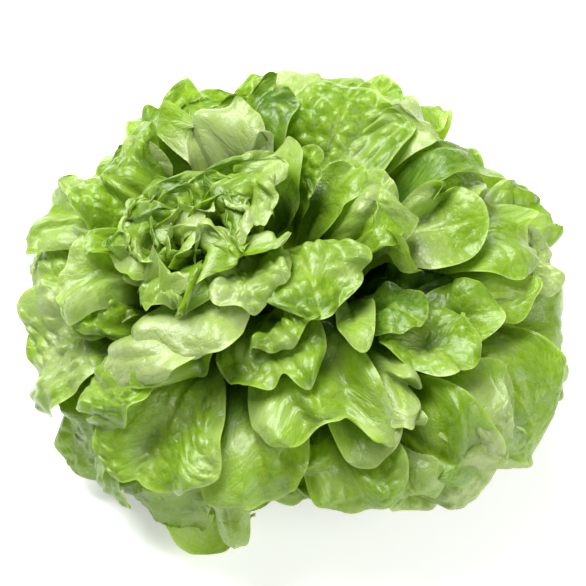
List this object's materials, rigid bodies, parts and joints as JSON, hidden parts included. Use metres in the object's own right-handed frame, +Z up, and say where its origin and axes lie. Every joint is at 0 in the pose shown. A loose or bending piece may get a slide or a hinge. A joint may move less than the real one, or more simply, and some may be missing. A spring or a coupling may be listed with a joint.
{
  "type": "lettuce head",
  "caption": "Head of loose-leaf green lettuce: a rosette of round, waved, blistered leaves on a short cut stem.",
  "frame": {"origin": "middle of the stem's cut face, on the surface that the head rests on", "axes": "+Z up, along the stem; -Y towards the camera of the picture"},
  "size_m": [0.2745, 0.2833, 0.1488],
  "materials": {
    "leaf": "soft gloss, crisp fresh green leaf",
    "stem": "matte, moist cream cut stem"
  },
  "bodies": {
    "root": {"leaf_head": "leaf", "cut_stem": "stem"}
  },
  "joints": []
}
